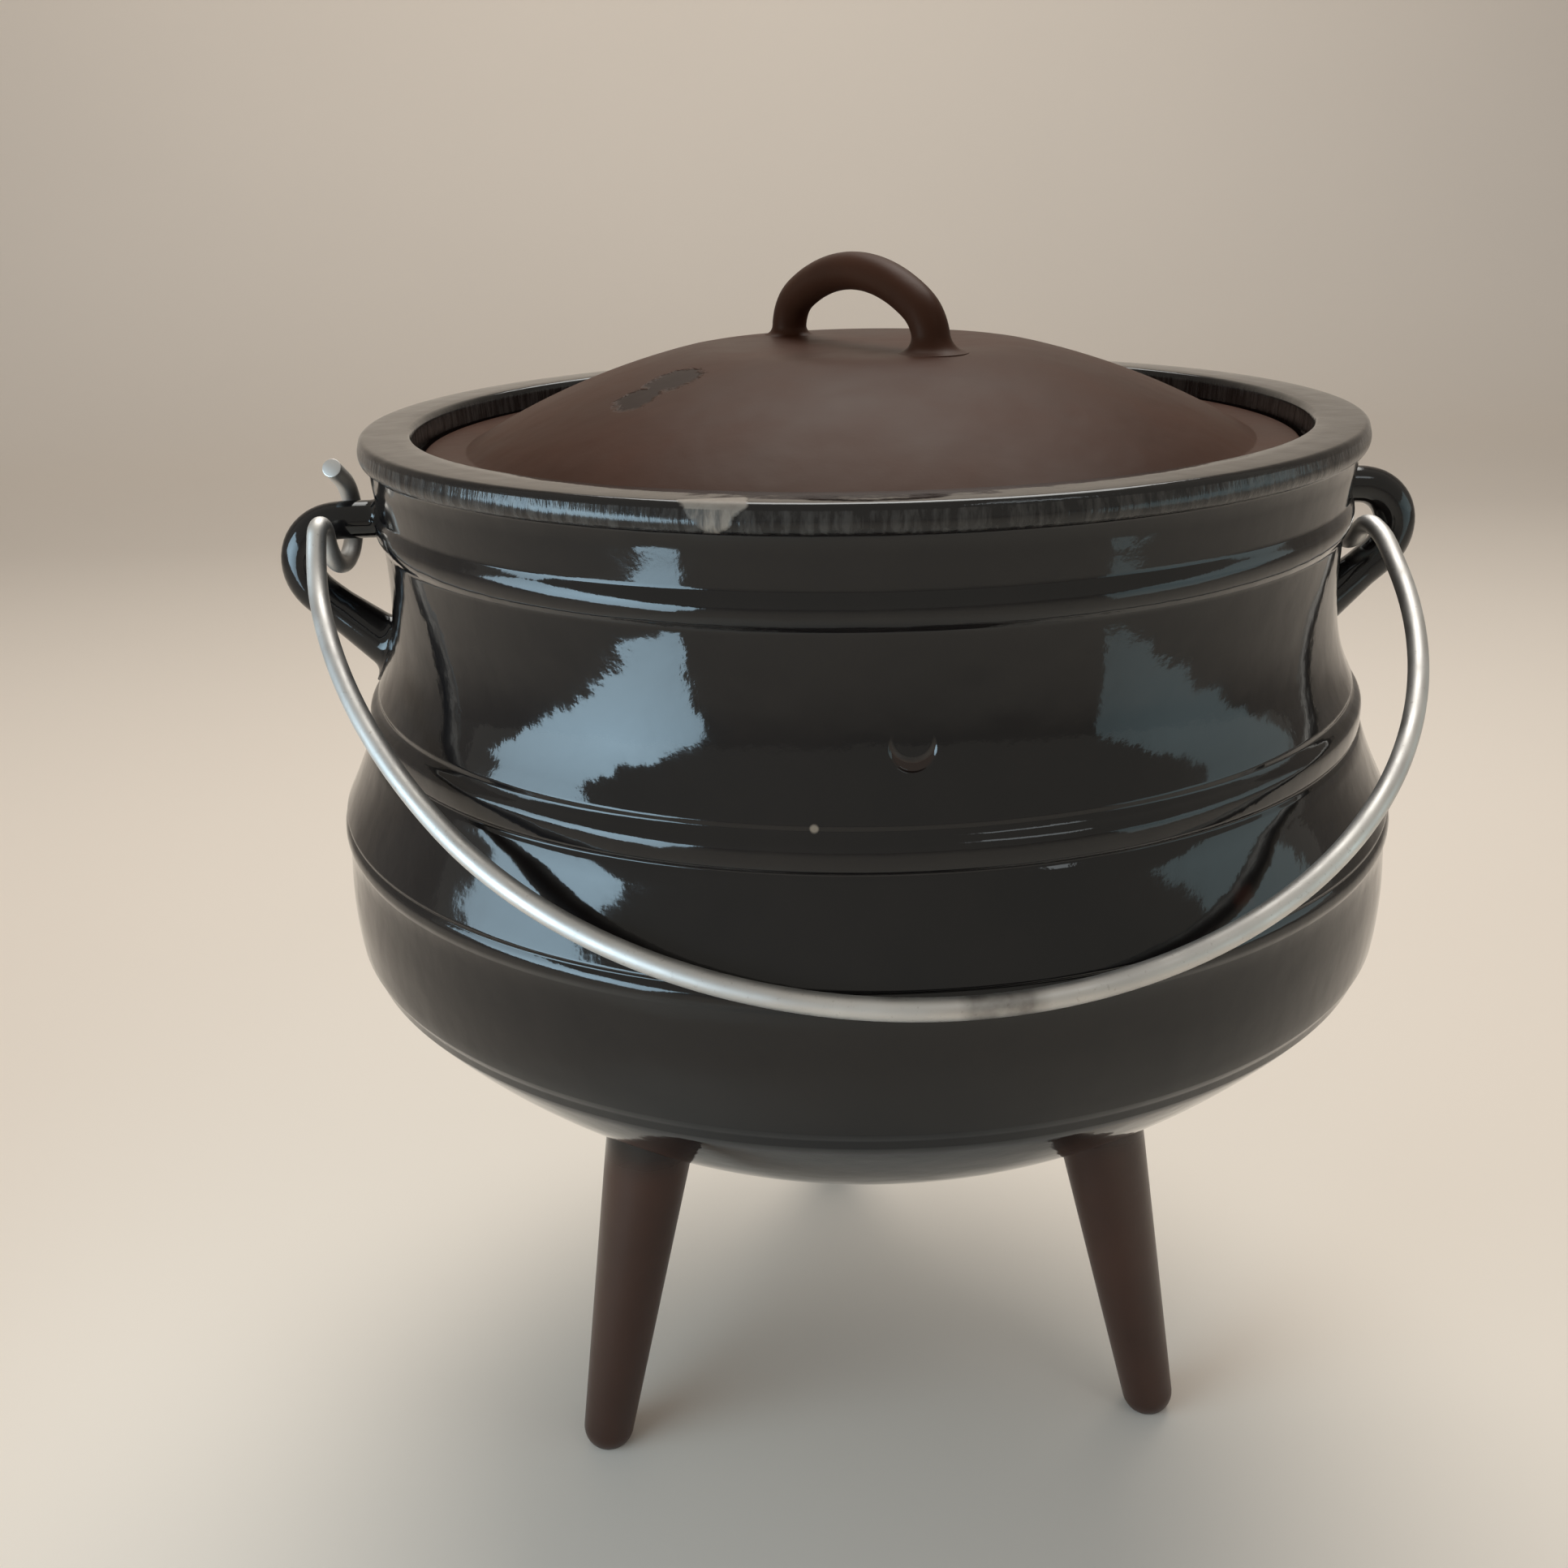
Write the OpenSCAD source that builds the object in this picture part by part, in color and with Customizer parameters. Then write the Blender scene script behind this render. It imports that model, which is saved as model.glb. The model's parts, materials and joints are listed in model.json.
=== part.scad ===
// Three-legged cast iron cooking pot with a lid that rests in the rim and a wire bail that
// swings in two cast side ears. Millimetres. +Z is up, -Y is the front, the feet stand on Z = 0.
// The origin is under the middle of the whole object's box, so the pot's own axis stands
// half of the bail's front overhang behind it.

/* [Pot body] */
// Belly radius at its widest band
belly_radius = 140; // [139.5:0.1:140.2]
// Height of the flat rim above the floor
rim_height = 287.5; // [286:0.5:290]
// How far the rim's top stays inside the belly's radius
rim_inset = 14; // [13.8:0.1:14.4]
// Height of the rim's outer face
rim_face = 6; // [5:0.5:6.5]
// How far the rim's face stands out from the neck below it
rim_step = 1.6; // [1.2:0.1:1.8]
// Thickness of the cast wall
wall = 4.5; // [4:0.1:5]
// How far the narrowest part of the neck stays inside the belly's radius
waist_inset = 17.6; // [17.2:0.1:18]
// Depth of the narrowest place below the rim
waist_depth = 44; // [42:1:46]
// Depth of the neck's lower end below the rim
neck_depth = 64.5; // [64:0.1:65]
// How far the neck's lower end stays inside the belly's radius
neck_foot_inset = 12; // [11.6:0.1:12.4]
// Depth of the belly's lower edge below the rim
belly_depth = 131.6; // [130:0.2:133]
// Radius of the rounded underside
bowl_radius = 177; // [176.5:0.1:177.5]
// How far the underside's edge stays inside the belly's radius
bowl_step = 2.6; // [2.4:0.1:2.8]

/* [Cast bands] */
// Depth of the upper band below the rim
upper_band_depth = 22; // [21:0.5:23]
// Height of the upper band
upper_band_height = 8; // [6:0.5:9]
// How far the upper band stands out
upper_band_rise = 1.5; // [1:0.1:2]
// How far the shoulder band stays inside the belly's radius
shoulder_band_inset = 9.5; // [9.2:0.1:9.8]
// Height of the shoulder band
shoulder_band_height = 7; // [6:0.5:7.5]
// Depth of the groove above the belly's band
belly_band_depth = 95.5; // [95:0.1:96]
// Height of the belly's band
belly_band_height = 4.5; // [4:0.5:5]
// Depth of the fine grooves between bands
groove = 0.7; // [0.4:0.1:0.9]

/* [Seat for the lid] */
// Width of the flat rim outside the recess
rim_width = 13; // [12.6:0.1:13.4]
// Depth of the recess to the ledge
recess_depth = 10; // [9:0.5:11]
// Width of the ledge that carries the lid
ledge_width = 7.5; // [6.5:0.5:9]
// Thickness of the ledge
ledge = 5; // [4:0.5:6]

/* [Lid] */
// Gap between the lid's edge and the recess
lid_gap = 2; // [1.5:0.1:2.5]
// Thickness of the lid
lid_thickness = 4; // [3.5:0.1:4.5]
// Radius of the lid's dome
dome_radius = 200; // [198:0.5:202]
// Width of the lid's flat flange outside the dome
flange_width = 10.7; // [10:0.1:11.5]
// Radius of the flat on top of the dome
plateau_radius = 41.7; // [40:0.1:43]
// Rounding where the flat meets the dome
plateau_rounding = 5; // [3:0.5:6]

/* [Lid handle] */
// Turn of the handle about the lid's middle
handle_turn = -61.5; // [-90:0.5:0]
// Distance between the middles of the handle's feet
handle_span = 64; // [60:1:68]
// Height of the handle's top above the lid's flat middle
handle_rise = 22.2; // [20.4:0.2:24.4]
// Radius of the handle's bar
handle_bar = 4.6; // [4.2:0.1:5]
// Radius of the bend at each end of the handle's top
handle_bend = 11; // [9:0.5:12]
// Radius of the handle's feet where they spread on the lid
handle_foot = 6.8; // [6:0.1:7.5]

/* [Legs] */
// Angle between a front leg and the front
leg_angle = 60; // [58:1:62]
// Splay of a leg from upright
leg_splay = 12; // [11.5:0.1:12.5]
// Distance from the middle of the pot to the middle of a foot
foot_reach = 91.8; // [91:0.1:93]
// Radius of a leg at its root
leg_root = 12.7; // [12:0.1:13.2]
// Radius of a leg just above the foot
leg_tip = 7.2; // [6.8:0.1:7.6]
// Radius of the sweep that joins a leg to the bowl
leg_fillet = 7; // [5:0.5:9]

/* [Ears] */
// Depth of the ear's upper arm below the rim
ear_depth = 24.1; // [24:0.1:24.2]
// Radius of the ear's upper arm
ear_bar = 4.9; // [4.7:0.1:5]
// Radius of the bar round the ear's bend
ear_bend_bar = 5.3; // [5.1:0.1:5.4]
// Distance from the neck's narrowest radius out to the middle of the ear's bend
ear_stand = 12.8; // [12.6:0.1:13.1]
// Radius of the ear's bend
ear_bend = 11.1; // [11:0.1:11.4]
// Angle the ear's bar turns through
ear_sweep = 140; // [138:1:142]
// Radius of the ear's lower arm where it meets the neck
ear_root = 7.4; // [7:0.1:7.8]

/* [Bail] */
// Radius of the bail's wire
wire = 2.45; // [2.3:0.05:2.5]
// Gap between the resting bail and the belly's upper edge
bail_gap = 0.35; // [0.35:0.05:0.6]
// How far inside the belly's radius the bail comes down past the belly's upper edge
bail_lean = 1.45; // [1.3:0.05:1.6]
// Distance of the bail's flat plane from the hinge line
bail_lead = 1.46; // [1.4:0.02:1.6]
// How far the bail's curve is bent to the right
bail_slip = 3.7; // [3.4:0.1:4]
// How far the radius of the bail's main curve is under the belly's
bail_inset = 9.7; // [9.4:0.1:10]
// Angle of the main curve on the right, from the front
right_angle = 88; // [87:0.5:89]
// Angle of the main curve on the left, from the front
left_angle = 53; // [52:0.5:54]
// How far the radius of the flatter curve on the left is over the belly's
left_excess = 65; // [63:1:67]
// Angle from the front at which the left curve ends
left_end_angle = 76; // [75.5:0.5:76.5]
// Length of the straight arm on the right
right_arm = 8; // [6:0.5:9]
// Radius of each end's hook
hook_radius = 11.3; // [11.2:0.1:11.4]
// Distance from the middle of the left ear's bend out to the left hook
left_hook_offset = 0.1; // [-0.2:0.1:0.4]
// Distance from the middle of the right ear's bend in to the right hook
right_hook_offset = 2.2; // [2:0.1:2.6]
// How far the right hook has slipped down from the ear's arm
right_hook_drop = 3.4; // [3:0.1:3.5]
// Turn of the left hook about the upright
left_hook_turn = 8; // [6:0.5:10]
// Turn of the right hook about the upright
right_hook_turn = 0.5; // [0.5:0.5:4]
// Where the left hook begins, counted from the back over the top to the front
left_hook_start = 188; // [186:1:192]
// Where the right hook begins
right_hook_start = 220; // [216:1:222]
// Where the left hook ends
left_hook_end = 420; // [416:1:424]
// Where the right hook ends
right_hook_end = 385; // [380:1:390]
// Length of the straight end of each hook
hook_stub = 7.75; // [7:0.25:8]

/* [Hidden] */
$fn = 96;
coat = [0.07, 0.07, 0.08];
steel = [0.6, 0.6, 0.6];
fine = 24;
coarse = 6;
rim_edge = 1.5;
flange_edge = 1;
skin = 0.01;
lap = 0.4;
seam = 0.05;
foot_seam = 0.15;
handle_foot_height = 5;
plateau_clear = 1;

// Small steps, lips and swellings of the outlines
neck_start = 1;
neck_bow = 0.9;
neck_dip = 2.4;
rim_lean = 0.3;
rim_hollow = 0.6;
rim_lip = 0.4;
shoulder_step = 2.5;
shoulder_round = 2.6;
shoulder_swell = 0.5;
flare_step = 1.5;
flare_leave = [2.6, -8.5];
flare_arrive = [-3.4, 6.8];
belly_break = 0.6;
belly_dip = 0.7;
belly_fade = 5;
band_step = 1.2;
line_step = 1.5;
bowl_lift = 2;
bowl_lip = [0.35, 2.2];
throat_edge = 1;
throat_run = 12;
foot_flat = 2.2;
leg_sink = 1.9;
leg_collar = 6;
leg_spread = 3;
leg_over = 12;
ear_arm = 26;

rim_radius = belly_radius - rim_inset;
waist_radius = belly_radius - waist_inset;
neck_foot_radius = belly_radius - neck_foot_inset;
shoulder_band_radius = belly_radius - shoulder_band_inset;
recess_radius = rim_radius - rim_width;
throat_radius = recess_radius - ledge_width;

function along(a, b, t) = a + (b - a) * t;
function unit(v) = v / norm(v);

// Points of a round stretch about c
function arc(c, r, a0, a1, n) =
    [for (i = [0 : n]) c + r * [cos(along(a0, a1, i / n)), sin(along(a0, a1, i / n))]];

// Points of a shallow round swelling between a and b that rises to their left
function swell(a, b, rise, n) =
    let (half = norm(b - a) / 2,
         r = (half * half + rise * rise) / (2 * rise),
         way = (b - a) / (2 * half),
         side = [-way[1], way[0]],
         c = (a + b) / 2 - side * (r - rise),
         reach = asin(half / r))
    [for (i = [0 : n])
        c + r * (side * cos(along(-reach, reach, i / n)) + way * sin(along(-reach, reach, i / n)))];

function bezier_at(p, t) =
    pow(1 - t, 3) * p[0] + 3 * t * pow(1 - t, 2) * p[1] + 3 * t * t * (1 - t) * p[2] + pow(t, 3) * p[3];

function bezier(p, t0, t1, n) = [for (i = [0 : n]) bezier_at(p, along(t0, t1, i / n))];

// Where a falling curve reaches the height z
function bezier_find(p, z, lo = 0, hi = 1, i = 0) =
    i > 24 ? (lo + hi) / 2
    : bezier_at(p, (lo + hi) / 2)[1] > z ? bezier_find(p, z, (lo + hi) / 2, hi, i + 1)
    : bezier_find(p, z, lo, (lo + hi) / 2, i + 1);

function inward(points, d) = [for (p = points) p - [d, 0]];
function upside(points) = [for (i = [len(points) - 1 : -1 : 0]) points[i]];

// Outline of the pot, as radius and height from the rim down
neck_top = [rim_radius - rim_step, -rim_face - neck_start];
neck_foot = [neck_foot_radius, -neck_depth];
neck = [neck_top,
        [waist_radius - neck_bow, -waist_depth * 0.72],
        [waist_radius - neck_dip, -waist_depth * 1.15],
        neck_foot];
band_top = bezier_find(neck, -upper_band_depth + upper_band_height / 2);
band_foot = bezier_find(neck, -upper_band_depth - upper_band_height / 2);
shoulder_top = -neck_depth - shoulder_step;
shoulder_foot = shoulder_top - shoulder_band_height;
flare_top = [shoulder_band_radius + rim_lean, shoulder_foot - flare_step];
flare_foot = [belly_radius - belly_break, -belly_band_depth];
flare = [flare_top, flare_top + flare_leave, flare_foot + flare_arrive, flare_foot];
band_line = -belly_band_depth - band_step;
belly_line = band_line - belly_band_height - line_step;
bowl_centre_depth = belly_depth + bowl_lift - sqrt(pow(bowl_radius, 2) - pow(belly_radius - bowl_step, 2));
bowl_centre = [0, -bowl_centre_depth];
bowl_edge_angle = -asin((belly_depth + bowl_lift - bowl_centre_depth) / bowl_radius);
bowl_edge = bowl_centre + bowl_radius * [cos(bowl_edge_angle), sin(bowl_edge_angle)];

outline = concat(
    [[0, 0]],
    arc([rim_radius - rim_edge, -rim_edge], rim_edge, 90, 0, coarse),
    upside(swell([rim_radius - rim_lean, -rim_face], [rim_radius, -rim_edge - rim_lean], -rim_hollow, coarse)),
    [[rim_radius - rim_step, -rim_face - rim_lip]],
    bezier(neck, 0, band_top, coarse),
    swell(bezier_at(neck, band_top), bezier_at(neck, band_foot), upper_band_rise, 10),
    bezier(neck, band_foot, 1, fine),
    [[neck_foot_radius - rim_lean, -neck_depth - 1.1]],
    swell([neck_foot_radius + belly_break, shoulder_top], [shoulder_band_radius, shoulder_top - shoulder_round],
          shoulder_swell, coarse),
    [[shoulder_band_radius, shoulder_foot + 0.7]],
    [[shoulder_band_radius - groove, shoulder_foot - 0.4]],
    bezier(flare, 0, 1, 14),
    [[flare_foot[0] - groove, -belly_band_depth - belly_break]],
    swell([belly_radius - belly_dip, band_line], [belly_radius - belly_dip, band_line - belly_band_height],
          belly_dip, coarse),
    [[belly_radius - belly_dip, belly_line]],
    swell([flare_foot[0], belly_line - belly_fade], [belly_radius - 0.8, -belly_depth + neck_dip], belly_break, 8),
    [bowl_edge + bowl_lip],
    arc(bowl_centre, bowl_radius, bowl_edge_angle, -90, fine)
);

// Hollow of the pot
inner_neck = inward(neck, wall);
flare_in = bezier_find(inner_neck, -recess_depth - ledge - throat_run);
hollow_bowl = bowl_radius - wall;
hollow_edge_angle = -asin((belly_depth - 3 - bowl_centre_depth) / hollow_bowl);
hollow = concat(
    [[0, skin]],
    [[recess_radius + 0.8, skin], [recess_radius + 0.6, -0.4], [recess_radius, -1.2]],
    [[recess_radius - 0.4, -recess_depth]],
    arc([throat_radius + throat_edge, -recess_depth - throat_edge], throat_edge, 90, 180, coarse),
    [[throat_radius, -recess_depth - ledge]],
    bezier(inner_neck, flare_in, 1, fine),
    bezier(inward(flare, wall), 0, 1, 10),
    [[belly_radius - belly_dip - wall, belly_line]],
    arc(bowl_centre, hollow_bowl, hollow_edge_angle, -90, fine)
);

// Leg, along its own axis from the foot's round end up
leg_start = [foot_reach, leg_tip - foot_flat];
leg_top_reach = foot_reach * 0.76;
leg_top = rim_height - bowl_centre_depth - sqrt(pow(bowl_radius, 2) - pow(leg_top_reach, 2));
leg_length = (leg_top - leg_start[1]) / cos(leg_splay) + leg_sink;
leg_neck = leg_root - belly_break;
leg_shoulder = leg_length - leg_fillet - leg_collar;
leg_outline = concat(
    [[0, -leg_tip]],
    arc([0, 0], leg_tip, -90, 0, 10),
    [[leg_neck, leg_shoulder]],
    arc([leg_neck + leg_fillet, leg_shoulder], leg_fillet, 180, 118, 8),
    [[leg_root + leg_spread, leg_length + leg_over], [0, leg_length + leg_over]]
);

// Ear
ear_reach = waist_radius + ear_stand;
ear_top = rim_height - ear_depth;
ear_low_angle = 90 - ear_sweep;
ear_low = [ear_reach + ear_bend * cos(ear_low_angle), ear_top - ear_bend + ear_bend * sin(ear_low_angle)];

// Lid
lid_radius = recess_radius - lid_gap;
dome_edge_radius = lid_radius - flange_width;
dome_centre = [0, -recess_depth + lid_thickness - sqrt(pow(dome_radius, 2) - pow(dome_edge_radius, 2))];
inner_dome = dome_radius - lid_thickness;
function on_dome(r, x) = [x, dome_centre[1] + sqrt(r * r - x * x)];
dome_edge_angle = acos(dome_edge_radius / dome_radius);
plateau_angle = acos((plateau_radius + plateau_rounding) / dome_radius);
under_edge_angle = asin((-recess_depth - dome_centre[1]) / inner_dome);
under_flat = plateau_radius - lid_thickness;
under_angle = acos(under_flat / inner_dome);
plateau = on_dome(dome_radius, plateau_radius)[1];
lid_outline = concat(
    [[0, plateau]],
    bezier([[plateau_radius - plateau_rounding, plateau],
            [plateau_radius - 1.5, plateau],
            [plateau_radius + 1.2, plateau - 0.3],
            on_dome(dome_radius, plateau_radius + plateau_rounding)], 0, 1, 8),
    arc(dome_centre, dome_radius, plateau_angle, dome_edge_angle, 14),
    [[dome_edge_radius + 1, -recess_depth + lid_thickness]],
    arc([lid_radius - flange_edge, -recess_depth + lid_thickness - flange_edge], flange_edge, 90, 0, 4),
    arc([lid_radius - flange_edge, -recess_depth + flange_edge], flange_edge, 0, -90, 4),
    arc(dome_centre, inner_dome, under_edge_angle, under_angle, 14),
    [[0, on_dome(inner_dome, under_flat)[1]]]
);

// Lid handle: two tight bends under one wide arch
handle_high = plateau + handle_rise - handle_bar;
handle_half = handle_span / 2;
handle_low = plateau + plateau_clear;
bend_in = handle_half - handle_bend;
bend_up = handle_high - handle_low - handle_bend;
arch_drop = (bend_in * bend_in - bend_up * bend_up) / (2 * bend_up);
arch_radius = norm([bend_in, arch_drop]) + handle_bend;
arch_half_angle = atan(bend_in / arch_drop);

// Orientation that carries x, y and z onto three square directions
function facing(x, y, z) = [atan2(y[2], z[2]), asin(-x[2]), atan2(x[1], x[0])];

// Two round bends from a, heading u, to b, heading v: the length of each bend's straight sides
function bend_side(a, u, b, v) =
    let (w = b - a, s = u + v, k = 4 - s * s, m = w * s)
    (-m + sqrt(m * m + k * (w * w))) / k;

// A round bend of wire that leaves a with heading u and comes out with heading v
module turn(a, u, v, side, thick, lap) {
    angle = acos(u * v);
    r = side / tan(angle / 2);
    in = unit(v - (u * v) * u);
    more = lap / r * 180 / PI;
    translate(a + in * r)
        rotate(facing(-in, u, cross(-in, u)))
            rotate([0, 0, -more])
                rotate_extrude(angle = angle + 2 * more)
                    translate([r, 0])
                        circle(r = thick);
}

// The bail, in the frame whose origin is the hinge line's middle
belly_edge = flare_foot[0];
bail_fall = rim_height - belly_band_depth - ear_top;
bail_cross = belly_radius - bail_lean;
bail_far = norm([bail_cross, bail_fall]);
bail_slope = atan(-bail_fall / bail_cross) + asin(bail_lead / bail_far);
bail_touch = sqrt(pow(bail_far, 2) - pow(bail_lead, 2));
bail_curve = belly_radius - bail_inset;
left_curve = belly_radius + left_excess;
touch_side = bail_slip + sqrt(pow(belly_edge + wire + seam + bail_gap, 2) - pow(bail_cross, 2));
bail_reach = bail_curve + bail_touch - sqrt(pow(bail_curve, 2) - pow(touch_side, 2));
bail_out = [0, -cos(bail_slope), -sin(bail_slope)];
bail_normal = [0, -sin(bail_slope), cos(bail_slope)];
function round_way(t) = [sin(t), 0, 0] + cos(t) * bail_out;
function arm_way(t) = [cos(t), 0, 0] - sin(t) * bail_out;
bail_middle = [bail_slip, 0, 0] + bail_out * (bail_reach - bail_curve) + bail_normal * bail_lead;
right_start = bail_middle + bail_curve * round_way(right_angle);
right_end = right_start + right_arm * arm_way(right_angle);
left_middle = bail_middle - [2 * bail_slip, 0, 0] + (bail_curve - left_curve) * round_way(left_angle);
left_end = left_middle + left_curve * round_way(left_end_angle);

// From the middle of the whole object's box back to the pot's axis
bail_front = bail_reach * cos(bail_slope) + bail_lead * sin(bail_slope) + wire + seam;
set_back = (bail_front - belly_radius) / 2;

module bail_arc(middle, r, a0, a1, thick) {
    translate(middle)
        rotate(facing(bail_out, [1, 0, 0], bail_normal))
            rotate([0, 0, a0])
                rotate_extrude(angle = a1 - a0)
                    translate([r, 0])
                        circle(r = thick);
}

// The bend over and the hook that follow an arm which ends at a with heading u
module bail_end(a, u, reach, drop, yaw, start, end) {
    side = [-sin(yaw), cos(yaw), 0];
    middle = [reach, 0, -drop];
    first = middle + hook_radius * (side * cos(start) + [0, 0, sin(start)]);
    first_way = -side * sin(start) + [0, 0, cos(start)];
    straight = bend_side(a, u, first, first_way);
    way = unit(first - first_way * straight - a - u * straight);
    turn(a, u, way, straight, wire + seam, 0);
    turn(a + (u + way) * straight, way, first_way, straight, wire, lap);
    translate(middle)
        rotate(facing(side, [0, 0, 1], cross(side, [0, 0, 1])))
            rotate([0, 0, start]) {
                rotate_extrude(angle = end - start)
                    translate([hook_radius, 0])
                        circle(r = wire + seam);
                rotate([0, 0, end - start])
                    translate([hook_radius, -lap, 0])
                        rotate([-90, 0, 0])
                            cylinder(r = wire, h = hook_stub + lap);
            }
}

module leg() {
    translate([leg_start[0], 0, leg_start[1]])
        rotate([0, -leg_splay, 0])
            rotate_extrude()
                polygon(leg_outline);
}

module ear() {
    translate([recess_radius, 0, ear_top])
        rotate([0, 90, 0])
            cylinder(r = ear_bar, h = ear_reach - recess_radius + lap);
    translate([ear_reach, 0, ear_top - ear_bend])
        rotate([90, 0, 0])
            rotate([0, 0, ear_low_angle])
                rotate_extrude(angle = ear_sweep)
                    translate([ear_bend, 0])
                        circle(r = ear_bend_bar);
    translate([ear_low[0], 0, ear_low[1]])
        rotate([0, 180 - ear_low_angle, 0])
            translate([0, 0, -lap])
                cylinder(r1 = ear_bend_bar - seam, r2 = ear_root, h = ear_arm + lap);
}

module pot() {
    color(coat)
        translate([0, set_back, 0])
            difference() {
                union() {
                    translate([0, 0, rim_height])
                        rotate_extrude()
                            polygon(outline);
                    for (a = [-90 - leg_angle, -90 + leg_angle, 90])
                        rotate([0, 0, a])
                            leg();
                    ear();
                    mirror([1, 0, 0])
                        ear();
                }
                translate([0, 0, rim_height])
                    rotate_extrude()
                        polygon(hollow);
                translate([-rim_radius, -rim_radius, -rim_height])
                    cube([2 * rim_radius, 2 * rim_radius, rim_height]);
            }
}

module handle_side() {
    translate([bend_in, 0, handle_low])
        rotate([90, 0, 0])
            rotate([0, 0, -lap])
                rotate_extrude(angle = 90 - arch_half_angle + 2 * lap)
                    translate([handle_bend, 0])
                        circle(r = handle_bar);
    translate([handle_half, 0, plateau - lid_thickness / 2])
        cylinder(r1 = handle_foot, r2 = handle_bar - foot_seam, h = handle_foot_height);
    translate([handle_half, 0, plateau - lid_thickness / 2])
        cylinder(r = handle_bar - foot_seam, h = lid_thickness);
}

module lid() {
    color(coat)
        translate([0, set_back, rim_height]) {
            rotate_extrude()
                polygon(lid_outline);
            rotate([0, 0, handle_turn]) {
                handle_side();
                mirror([1, 0, 0])
                    handle_side();
                translate([0, 0, handle_high - arch_radius])
                    rotate([90, 0, 0])
                        rotate([0, 0, 90 - arch_half_angle])
                            rotate_extrude(angle = 2 * arch_half_angle)
                                translate([arch_radius, 0])
                                    circle(r = handle_bar + seam);
            }
        }
}

module bail() {
    more = lap / left_curve * 180 / PI;
    color(steel)
        translate([0, set_back, ear_top]) {
            bail_arc(bail_middle, bail_curve, -left_angle, right_angle, wire + seam);
            translate(right_start - lap * arm_way(right_angle))
                rotate(facing(bail_normal, cross(arm_way(right_angle), bail_normal), arm_way(right_angle)))
                    cylinder(r = wire, h = right_arm + 2 * lap);
            bail_end(right_end, arm_way(right_angle), ear_reach - right_hook_offset, right_hook_drop,
                     right_hook_turn, right_hook_start, right_hook_end);
            mirror([1, 0, 0]) {
                bail_arc(left_middle, left_curve, left_angle - more, left_end_angle + more, wire);
                bail_end(left_end, arm_way(left_end_angle), ear_reach + left_hook_offset, 0,
                         left_hook_turn, left_hook_start, left_hook_end);
            }
        }
}

pot();
lid();
bail();
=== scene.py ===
import json
import math

import bpy
import bmesh
import numpy as np
from mathutils import Matrix, Vector


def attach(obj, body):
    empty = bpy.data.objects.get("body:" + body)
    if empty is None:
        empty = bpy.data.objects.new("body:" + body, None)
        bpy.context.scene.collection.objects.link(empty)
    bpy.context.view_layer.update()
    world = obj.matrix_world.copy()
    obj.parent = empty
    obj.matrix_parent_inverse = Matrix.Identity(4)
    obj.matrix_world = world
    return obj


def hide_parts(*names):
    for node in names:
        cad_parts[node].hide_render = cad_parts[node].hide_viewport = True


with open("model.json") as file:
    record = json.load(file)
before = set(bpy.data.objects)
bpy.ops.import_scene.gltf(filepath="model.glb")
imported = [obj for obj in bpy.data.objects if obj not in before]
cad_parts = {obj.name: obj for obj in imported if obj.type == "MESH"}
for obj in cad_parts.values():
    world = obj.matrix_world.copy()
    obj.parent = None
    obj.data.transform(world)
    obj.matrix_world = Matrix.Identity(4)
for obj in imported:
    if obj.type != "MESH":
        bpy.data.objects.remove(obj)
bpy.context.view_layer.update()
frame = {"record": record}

# Lengths of the object are in millimetres here, with z from the floor up, and turn to metres in make_mesh.
MM = 0.001
hinge = frame["record"]["behaviour"]["joints"][0]["pos_m"]
AXIS = np.array([0.0, hinge[1] / MM, 0.0])      # where the pot's own axis stands
EAR_TOP = hinge[2] / MM
RIM = 287.5


# ---------------------------------------------------------------- curves
def arc(c, r, a0, a1, n):
    t = np.radians(np.linspace(a0, a1, n + 1))
    return np.stack([c[0] + r * np.cos(t), c[1] + r * np.sin(t)], 1)


def swell(a, b, rise, n):
    a, b = np.array(a, float), np.array(b, float)
    half = np.linalg.norm(b - a) / 2
    r = (half * half + rise * rise) / (2 * rise)
    way = (b - a) / (2 * half)
    side = np.array([-way[1], way[0]])
    c = (a + b) / 2 - side * (r - rise)
    reach = math.asin(half / r)
    t = np.linspace(-reach, reach, n + 1)[:, None]
    return c + r * (side * np.cos(t) + way * np.sin(t))


def bezier(p, t0, t1, n):
    p = np.array(p, float)
    t = np.linspace(t0, t1, n + 1)[:, None]
    return (1 - t) ** 3 * p[0] + 3 * t * (1 - t) ** 2 * p[1] + 3 * t * t * (1 - t) * p[2] + t ** 3 * p[3]


def bezier_find(p, z):
    """Where a falling curve reaches the height z."""
    t = np.linspace(0, 1, 4001)
    return float(np.interp(-z, -bezier(p, 0, 1, 4000)[:, 1], t))


def spaced(points, step):
    """The polyline with points every step along it."""
    points = np.array(points, float)
    d = np.linalg.norm(np.diff(points, axis=0), axis=1)
    keep = np.r_[True, d > 1e-9]
    points = points[keep]
    s = np.r_[0, np.cumsum(np.linalg.norm(np.diff(points, axis=0), axis=1))]
    t = np.linspace(0, s[-1], max(2, int(round(s[-1] / step)) + 1))
    return np.stack([np.interp(t, s, points[:, k]) for k in range(points.shape[1])], 1)


def softened(points, step, width):
    """The polyline with its corners rounded off, as lacquer and casting round them; its ends stay."""
    p = spaced(points, step)
    n = int(3 * width / step)
    w = np.exp(-0.5 * (np.arange(-n, n + 1) * step / width) ** 2)
    w /= w.sum()
    q = np.concatenate([2 * p[0] - p[n:0:-1], p, 2 * p[-1] - p[-2:-n - 2:-1]])
    return np.stack([np.convolve(q[:, k], w, "valid") for k in range(p.shape[1])], 1)


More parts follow.
